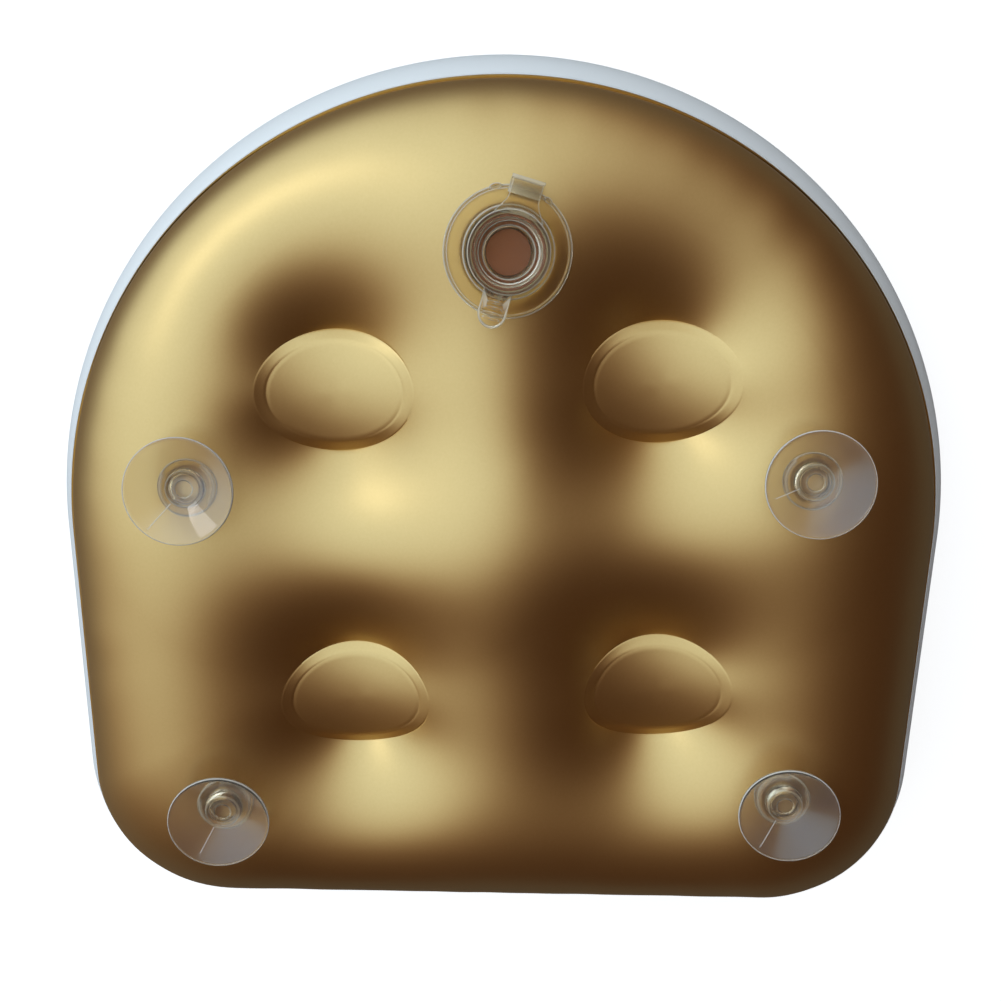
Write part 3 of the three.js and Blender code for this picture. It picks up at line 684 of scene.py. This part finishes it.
plug_profile = rounded([
    (0, PLUG_LOW, 0), (SKIRT_END_RADIUS, PLUG_LOW, 0.7), (SKIRT_TOP_RADIUS, PLUG_RIM_LOW, 0.2),
    (PLUG_RIM_RADIUS, PLUG_RIM_LOW, 0.4), (PLUG_RIM_RADIUS, PLUG_RIM_TOP, 0.6),
    (WELL_RADIUS, PLUG_RIM_TOP, 0.5), (WELL_RADIUS, PLUG_RIM_TOP - WELL_STEP, 0.4),
    (WELL_STEP_RADIUS, PLUG_RIM_TOP - WELL_STEP, 0.4), (WELL_FLOOR_RADIUS, PLUG_LOW + PLUG_FLOOR, 0.5),
    (0, PLUG_LOW + PLUG_FLOOR, 0)])
valve_plug = piece_from("plug", [in_valve(lathe(plug_profile))])
tab_end = PLUG_RIM_RADIUS + TAB_LENGTH - TAB_WIDTH / 2
tab_turn = np.linspace(np.pi, 2 * np.pi, 25)
tab_side = TAB_WIDTH / 2 * np.stack([np.cos(tab_turn), np.sin(tab_turn)], -1) - np.array([0, tab_end])
tab_start = TAB_SINK - PLUG_RIM_RADIUS
tab_root = np.array([[TAB_WIDTH / 2, tab_start], [-TAB_WIDTH / 2, tab_start]])
tab_outline = np.concatenate([tab_root[1:], tab_side, tab_root])
tab_pole = np.array([0, -PLUG_RIM_RADIUS - TAB_LENGTH / 2])
tab = piece_from("tab", [in_valve(slab(tab_outline, tab_pole, TAB_LOW, TAB_TOP, TAB_ROUNDING))])
round_ridge = np.linspace(0, 2 * np.pi, 25)
ridge_outline = np.stack([
    RIDGE_HALF_LENGTH * np.cos(round_ridge), RIDGE_HALF_WIDTH * np.sin(round_ridge)], -1)
ridges = []
for step in range(RIDGES):
    middle = tab_pole - np.array([0, (step - (RIDGES - 1) / 2) * RIDGE_PITCH])
    ridges.append(piece_from("ridge", [in_valve(slab(
        middle + ridge_outline, middle, TAB_TOP - RIDGE_SINK, TAB_TOP + RIDGE_HEIGHT, RIDGE_ROUNDING))]))
lip_path = np.concatenate([tab_root[1:], tab_side, tab_root[:1]]) * [LIP_NARROWING, 1]
run_along = np.gradient(lip_path, axis=0)
lip_out = np.stack([run_along[:, 1], -run_along[:, 0]], -1)
lip_out = lip_out / np.linalg.norm(lip_out, axis=1, keepdims=True)
round_lip = np.linspace(0, 2 * np.pi, 13)[:, None]
lip_size = np.concatenate([[0], np.full(len(lip_path) - 2, LIP_RADIUS), [0]])
lip_plan = lip_path + lip_out * (lip_size * np.cos(round_lip))[..., None]
lip_height = TAB_TOP - LIP_SINK + lip_size * np.sin(round_lip)
lip = piece_from("lip", [in_valve(np.concatenate([lip_plan, lip_height[..., None]], -1))])
combine(valve_plug, [tab, lip, *ridges], "UNION")

mark_edges(valve_plug)
dress(valve_plug, valve_vinyl)
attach(valve_plug, "plug")
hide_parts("valve_plug")

# Plug strap: a flat strip of the same moulding between the plug's rim and the riser, wider at the rim and
# a little thicker along its two edges. It is the hinge on which the plug swings open.
STRAP_ROOT_WIDTH = 20
STRAP_FLARE = 0.5
STRAP_SQUARENESS = 0.35
STRAP_BEAD, STRAP_BEAD_POWER = 0.5, 8
STRAP_STATIONS = 30
strap_near = PLUG_RIM_RADIUS + GAP
strap_end = STRAP_FOLD - FOLD_CLEARANCE
along = np.linspace(0, 1, STRAP_STATIONS)
flare = np.maximum(0, 1 - along / STRAP_FLARE) ** 2
half_width = STRAP_WIDTH / 2 + (STRAP_ROOT_WIDTH - STRAP_WIDTH) / 2 * flare
loop = np.linspace(0, 2 * np.pi, 33)
loop_x = np.sign(np.cos(loop)) * np.abs(np.cos(loop)) ** STRAP_SQUARENESS
loop_z = np.sign(np.sin(loop)) * np.abs(np.sin(loop)) ** STRAP_SQUARENESS
strap_x = half_width[:, None] * loop_x
arc = np.sqrt(strap_near ** 2 - np.clip(strap_x, -strap_near, strap_near) ** 2)
strap_y = arc + (strap_end - arc) * along[:, None]
edge_bead = 1 + STRAP_BEAD * np.abs(loop_x) ** STRAP_BEAD_POWER
strap_z = np.broadcast_to(FOLD_HEIGHT + STRAP_THICKNESS / 2 * edge_bead * loop_z, strap_x.shape)
strap_grid = np.stack([strap_x, strap_y, strap_z], -1)
caps = [np.broadcast_to(strap_grid[row].mean(0), (1, *strap_grid[row].shape)) for row in (0, -1)]
plug_strap = piece_from("strap", [in_valve(np.concatenate([caps[0], strap_grid, caps[1]]))])
mark_edges(plug_strap)
dress(plug_strap, valve_vinyl)
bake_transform(plug_strap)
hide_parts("plug_strap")

# Cup patches and suction cups: a round patch of clear vinyl welded on the gold film, with a raised hat
# that holds the headed stem of a clear suction cup. The cups were moulded in two halves, which leaves a
# fine line across each.
PATCH_RADIUS = 12.5
PATCH_ROWS = 6
# Step in from the patch's radius and lift over the film, of the rows over its edge
PATCH_EDGE = np.array([(0, 0.5), (0, 0.9), (0.3, 1.1)])
HAT_RADIUS = 9
HAT_TOP = 5.1
POCKET_RADIUS, POCKET_TOP = 6.4, 4.1
HOLE_RADIUS = 3.9
CUP_RADIUS = 22.5
CUP_LOW, CUP_FLOOR, CUP_TOP = 5.5, 7.1, 14.5
CUP_LIP = 1.2
CUP_HUB_RADIUS = 5.5
STEM_RADIUS = 3.5
HEAD_RADIUS = 6
HEAD_LOW, HEAD_TOP = 1, 3.7
LINE_START, LINE_END = 7.5, 18.5
LINE_SINK, LINE_RISE = 0.3, 0.2
LINE_HALF_WIDTH = 0.2
LINE_ROUNDING = 0.1
# Direction of the line on each cup, in degrees
CUP_LINES = {"upper_left": 231, "upper_right": 200, "lower_left": 240, "lower_right": 235}
cup_profile = rounded([
    (0, HEAD_LOW, 0), (HEAD_RADIUS, HEAD_LOW, 0.5), (HEAD_RADIUS, (HEAD_LOW + HEAD_TOP) / 2, 0.4),
    (STEM_RADIUS, HEAD_TOP, 0.6), (STEM_RADIUS, CUP_LOW, 0.6), (CUP_HUB_RADIUS, CUP_LOW, 0.8),
    (CUP_RADIUS, CUP_TOP - CUP_LIP, 0.5),
    (CUP_RADIUS, CUP_TOP, 0.55), (CUP_RADIUS - CUP_LIP, CUP_TOP, 0.5), (CUP_HUB_RADIUS, CUP_FLOOR, 2.5),
    (0, CUP_FLOOR, 0)])
patch_top = rounded([
    (PATCH_RADIUS - 0.9, 0.9, 0), (HAT_RADIUS, 1.2, 0.8), (HAT_RADIUS - 1, HAT_TOP, 0.8),
    (HOLE_RADIUS, HAT_TOP, 0.3), (HOLE_RADIUS, POCKET_TOP, 0.2), (POCKET_RADIUS, POCKET_TOP, 0.4),
    (POCKET_RADIUS, 0.8, 0)])
slope = (CUP_TOP - CUP_FLOOR) / (CUP_RADIUS - CUP_LIP - CUP_HUB_RADIUS)
line_in, line_out = CUP_FLOOR + slope * (np.array([LINE_START, LINE_END]) - CUP_HUB_RADIUS)
line_side = np.array([
    [LINE_START, line_in - LINE_SINK], [LINE_END, line_out - LINE_SINK],
    [LINE_END, line_out + LINE_RISE], [LINE_START, line_in + LINE_RISE],
    [LINE_START, line_in - LINE_SINK]])
line_grid = slab(line_side, line_side[:4].mean(0), -LINE_HALF_WIDTH, LINE_HALF_WIDTH, LINE_ROUNDING)

# Clear soft vinyl of the cups: it passes nearly all light, and shows as bright rims and reflections. The
# pale frost on its rims is partly painted highlight.
cup_vinyl = clear_material(
    "clear_cup_vinyl", "#f8f2e8", roughness=0.05, mirror=1.0, haze=0.05, frost_and_glint=0.55)
for corner, line_angle in CUP_LINES.items():
    cup_centre, cup_z = joint_line(f"cup_{corner}_swivel")
    cup_x = np.cross([0, 1, 0], cup_z)
    cup_x = cup_x / np.linalg.norm(cup_x)
    cup_axes = np.stack([cup_x, np.cross(cup_z, cup_x), cup_z])
    patch_radii = np.linspace(POCKET_RADIUS, PATCH_RADIUS, PATCH_ROWS)
    patch_under = rings_on_film(patch_radii, GAP, cup_centre, cup_axes)
    patch_edge = rings_on_film(PATCH_RADIUS - PATCH_EDGE[:, 0], PATCH_EDGE[:, 1], cup_centre, cup_axes)
    patch_upper = placed(lathe(patch_top), cup_centre, cup_axes)
    patch = piece_from(f"patch_{corner}", [np.concatenate([
        patch_under, patch_edge, patch_upper, patch_under[:1]])])
    mark_edges(patch)
    dress(patch, valve_vinyl)
    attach(patch, "cushion")
    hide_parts(f"cup_patch_{corner}")
    cup = piece_from(f"cup_{corner}", [placed(lathe(cup_profile), cup_centre, cup_axes)])
    line_spun = spun(line_grid[..., [0, 2, 1]], line_angle)
    line = piece_from("line", [placed(line_spun, cup_centre, cup_axes)])
    combine(cup, [line], "UNION")
    mark_edges(cup)
    dress(cup, cup_vinyl)
    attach(cup, f"cup_{corner}")
    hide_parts(f"suction_cup_{corner}")

# Floor and light: a sheet of white paper under the cushion, one soft window high on the left, and a room
# that is bright round that window and falls off to a dim warm side across from it. Straight sight, also
# through the clear pieces, meets a white backdrop instead of the room.
FLOOR_SIDE = 3000
FLOOR_DROP = 0.5
FLOOR_GLOW = 0.76
PAPER_FIBRE = 4
GLOSS_SHARE = 0.05
WINDOW_AZIMUTH, WINDOW_ELEVATION = 140, 38
WINDOW_DISTANCE = 2
WINDOW_LENGTH, WINDOW_HEIGHT = 0.8, 0.2
WINDOW_POWER = 2
ROOM_STRENGTH = 1.8
# Light of the room, linear, by the share of the way from straight across to the window
ROOM_TONES = (
    (0.5, (0.01, 0.003, 0.001, 1)), (0.65, (0.068, 0.024, 0.006, 1)), (0.72, (0.23, 0.145, 0.075, 1)),
    (0.8, (0.53, 0.57, 0.58, 1)), (0.925, (0.64, 0.77, 0.9, 1)), (1, (0.66, 0.79, 0.92, 1)))
floor_x, floor_y = np.meshgrid([-FLOOR_SIDE, FLOOR_SIDE], [-FLOOR_SIDE, FLOOR_SIDE])
floor = piece_from("floor", [np.stack([floor_x, floor_y, np.full_like(floor_x, -FLOOR_DROP, float)], -1)])
face_up(floor, True)

# White paper: matt, with a faint fibre drawn coarser than the real one. It is dark to mirrored rays, which
# keeps the gold film's lower edge dark, and glows for straight sight, so that it meets the white backdrop.
floor_paper, tree = new_material("white_paper")
place = add_node(tree, "ShaderNodeTexCoord").outputs["Object"]
fibre = add_node(tree, "ShaderNodeTexNoise", {
    "Vector": place, "Scale": 1 / (PAPER_FIBRE * MM), "Detail": 3.0})
bump = add_node(tree, "ShaderNodeBump", {
    "Height": fibre.outputs["Fac"], "Strength": 0.1, "Distance": GRAIN_HEIGHT * MM})
rays = add_node(tree, "ShaderNodeLightPath")
tone = add_node(tree, "ShaderNodeMix", {
    0: rays.outputs["Is Glossy Ray"], 6: linear("#bebebe"), 7: linear("#484848")}, data_type="RGBA")
paper = add_node(tree, "ShaderNodeBsdfDiffuse", {
    "Color": tone.outputs[2], "Normal": bump.outputs["Normal"]})
seen = add_node(tree, "ShaderNodeMath", {
    0: rays.outputs["Is Camera Ray"], 1: rays.outputs["Is Transmission Ray"]}, operation="MAXIMUM")
gloss = add_node(tree, "ShaderNodeMath", {
    0: rays.outputs["Is Glossy Ray"], 1: GLOSS_SHARE}, operation="MULTIPLY")
seen = add_node(tree, "ShaderNodeMath", {
    0: seen.outputs["Value"], 1: gloss.outputs["Value"]}, operation="MAXIMUM")
glow = add_node(tree, "ShaderNodeMath", {
    0: seen.outputs["Value"], 1: FLOOR_GLOW}, operation="MULTIPLY")
white = add_node(tree, "ShaderNodeEmission", {"Strength": glow.outputs["Value"]})
both = add_node(tree, "ShaderNodeAddShader")
tree.links.new(paper.outputs["BSDF"], both.inputs[0])
tree.links.new(white.outputs["Emission"], both.inputs[1])
add_node(tree, "ShaderNodeOutputMaterial", {"Surface": both.outputs["Shader"]})
dress(floor, floor_paper)

turn, lift = np.radians(WINDOW_AZIMUTH), np.radians(WINDOW_ELEVATION)
to_window = np.array([np.cos(lift) * np.cos(turn), np.cos(lift) * np.sin(turn), np.sin(lift)])
window_side = np.array([-np.sin(turn), np.cos(turn), 0])
window_matrix = np.eye(4)
window_matrix[:3, :3] = np.stack([window_side, np.cross(to_window, window_side), to_window], -1)
window_matrix[:3, 3] = MM * AIM + WINDOW_DISTANCE * to_window
window_data = bpy.data.lights.new("window", "AREA")
window_data.shape = "RECTANGLE"
window_data.size = WINDOW_LENGTH
window_data.size_y = WINDOW_HEIGHT
window_data.energy = WINDOW_POWER
window = bpy.data.objects.new("window", window_data)
bpy.context.scene.collection.objects.link(window)
window.matrix_world = Matrix(window_matrix.tolist())

world = bpy.data.worlds.new("room")
bpy.context.scene.world = world
world.use_nodes = True
tree = world.node_tree
tree.nodes.clear()
facing = add_node(tree, "ShaderNodeTexCoord").outputs["Generated"]
near = add_node(tree, "ShaderNodeVectorMath", {0: facing, 1: to_window.tolist()}, operation="DOT_PRODUCT")
share = add_node(tree, "ShaderNodeMapRange", {"Value": near.outputs["Value"], "From Min": -1.0})
room = add_node(tree, "ShaderNodeValToRGB", {"Fac": share.outputs["Result"]})
ramp = room.color_ramp.elements
for end, (position, colour) in zip(ramp, (ROOM_TONES[0], ROOM_TONES[-1])):
    end.position, end.color = position, colour
for position, colour in ROOM_TONES[1:-1]:
    ramp.new(position).color = colour
light_in = add_node(tree, "ShaderNodeBackground", {
    "Color": room.outputs["Color"], "Strength": ROOM_STRENGTH})
rays = add_node(tree, "ShaderNodeLightPath")
straight = add_node(tree, "ShaderNodeMath", {
    0: rays.outputs["Ray Depth"], 1: rays.outputs["Transmission Depth"], 2: 0.5}, operation="COMPARE")
through = add_node(tree, "ShaderNodeMath", {
    0: rays.outputs["Is Transmission Ray"], 1: straight.outputs["Value"]}, operation="MULTIPLY")
seen = add_node(tree, "ShaderNodeMath", {
    0: rays.outputs["Is Camera Ray"], 1: through.outputs["Value"]}, operation="MAXIMUM")
backdrop = add_node(tree, "ShaderNodeBackground", {"Color": (1, 1, 1, 1), "Strength": 1.0})
both = add_node(tree, "ShaderNodeMixShader", {"Fac": seen.outputs["Value"]})
tree.links.new(light_in.outputs["Background"], both.inputs[1])
tree.links.new(backdrop.outputs["Background"], both.inputs[2])
add_node(tree, "ShaderNodeOutputWorld", {"Surface": both.outputs["Shader"]})
bpy.context.scene.view_settings.view_transform = "Standard"
